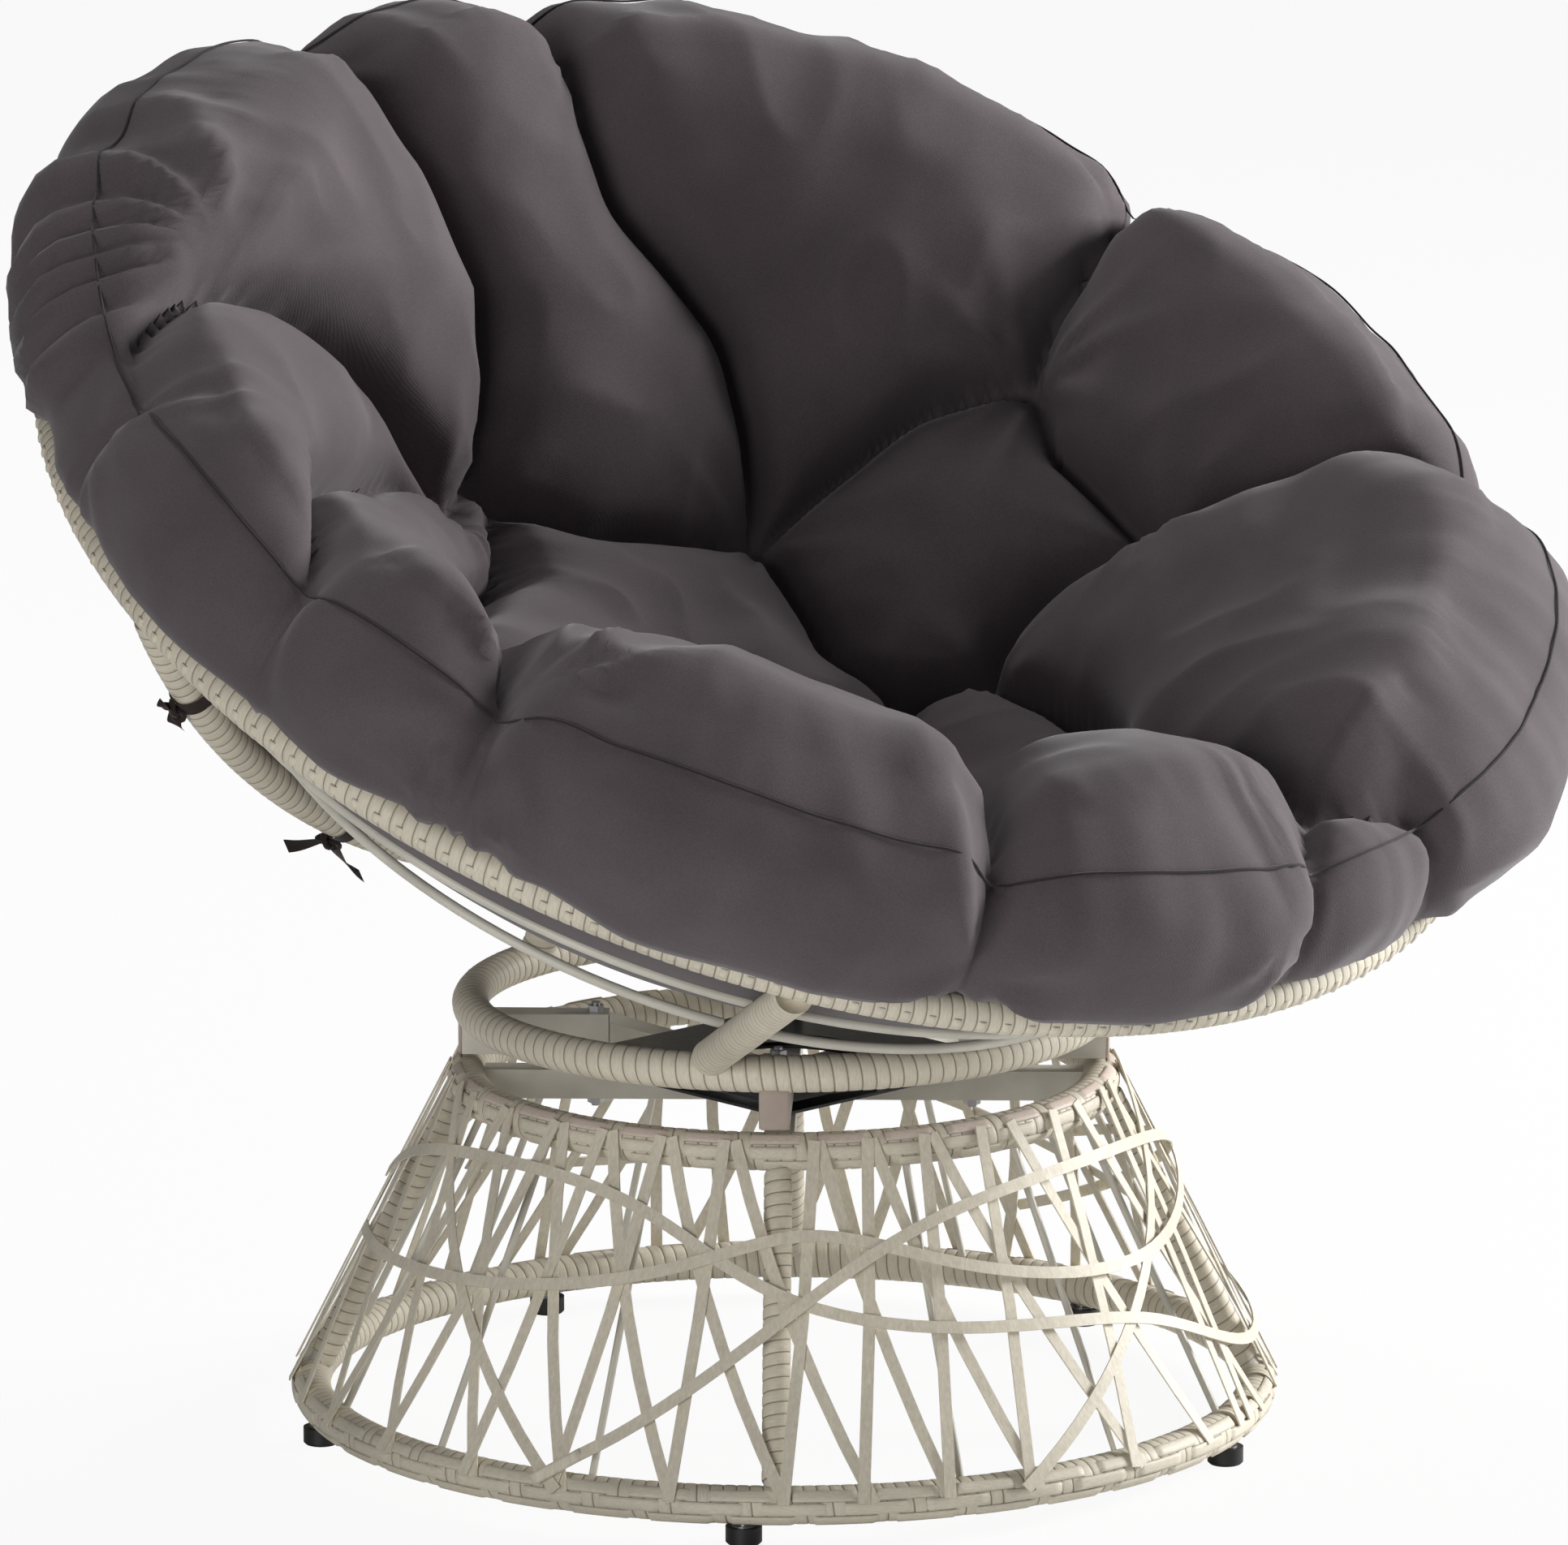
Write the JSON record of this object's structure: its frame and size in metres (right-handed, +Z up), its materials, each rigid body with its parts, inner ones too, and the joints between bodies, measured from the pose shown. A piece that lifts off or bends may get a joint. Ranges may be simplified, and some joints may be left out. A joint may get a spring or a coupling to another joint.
{
  "type": "round swivel chair",
  "caption": "Round tilted bowl chair with a tufted grey cushion, wicker-wrapped steel frame and ball-bearing swivel on a woven drum base.",
  "frame": {"origin": "on the floor under the middle of the chair's outline, 14.5 mm in front of the swivel axis", "axes": "+Z up, the chair faces -Y, +X is to the right of someone looking at its front"},
  "size_m": [1.072, 0.9734, 0.9301],
  "materials": {
    "wicker": "satin flat resin wicker, cream to greige, fine grain along each strip",
    "frame_paint": "satin cream powder coat",
    "black_plate": "semi-gloss black",
    "bare_steel": "zinc plated",
    "black_plastic": "moulded",
    "cushion_fabric": "dark warm grey twill",
    "tie_ribbon": "dark brown woven ribbon"
  },
  "bodies": {
    "base": {"bottom_ring_tube": "frame_paint", "bottom_ring_wrap": "wicker", "top_ring_tube": "frame_paint", "top_ring_wrap": "wicker", "base_leg_1": "frame_paint", "base_leg_2": "frame_paint", "base_leg_3": "frame_paint", "base_leg_4": "frame_paint", "base_leg_wrap_1": "wicker", "base_leg_wrap_2": "wicker", "base_leg_wrap_3": "wicker", "base_leg_wrap_4": "wicker", "base_rods": "frame_paint", "cross_bar": "frame_paint", "cross_arm_front": "frame_paint", "cross_arm_back": "frame_paint", "cross_brace_left": "frame_paint", "cross_brace_right": "frame_paint", "foot_stems": "bare_steel", "foot_caps": "black_plastic", "swivel_lower_plate": "black_plate", "swivel_lower_lock_ring": "bare_steel", "swivel_lower_bolts": "bare_steel", "swivel_lower_nuts": "bare_steel", "lattice_right_leaning_strips": "wicker", "lattice_left_leaning_strips": "wicker", "lattice_long_strips": "wicker", "lattice_upper_band": "wicker", "lattice_middle_band": "wicker", "lattice_rising_band": "wicker"},
    "ball_cage": {"swivel_ball_cage": "bare_steel", "swivel_balls": "bare_steel"},
    "seat": {"swivel_upper_plate": "black_plate", "swivel_upper_lock_ring": "bare_steel", "swivel_upper_bolts": "bare_steel", "swivel_upper_nuts": "bare_steel", "seat_arms": "frame_paint", "seat_ring_tube": "frame_paint", "seat_ring_wrap": "wicker", "front_strut_left": "frame_paint", "front_strut_left_wrap": "wicker", "front_strut_right": "frame_paint", "front_strut_right_wrap": "wicker", "cradle_hoop_tube": "frame_paint", "cradle_hoop_wrap": "wicker", "cradle_post_left": "wicker", "cradle_post_right": "wicker", "back_ribs": "frame_paint", "rim_tube": "frame_paint", "rim_wrap": "wicker", "upper_hoop_back": "frame_paint", "upper_hoop_front": "frame_paint", "middle_hoop_back": "frame_paint", "middle_hoop_front": "frame_paint", "lower_back_hoop": "frame_paint", "cushion": "cushion_fabric", "cushion_ties": "tie_ribbon"}
  },
  "joints": [
    {"name": "seat_swivel", "type": "hinge", "parent": "base", "child": "seat", "pos_m": [0, 0.0145, 0.2475], "axis": [0, 0, 1], "continuous": true},
    {"name": "cage_turn", "type": "hinge", "parent": "base", "child": "ball_cage", "pos_m": [0, 0.0145, 0.2475], "axis": [0, 0, 1], "continuous": true}
  ],
  "couplings": [
    {"joint": "cage_turn", "follows": "seat_swivel", "ratio": 0.5}
  ]
}
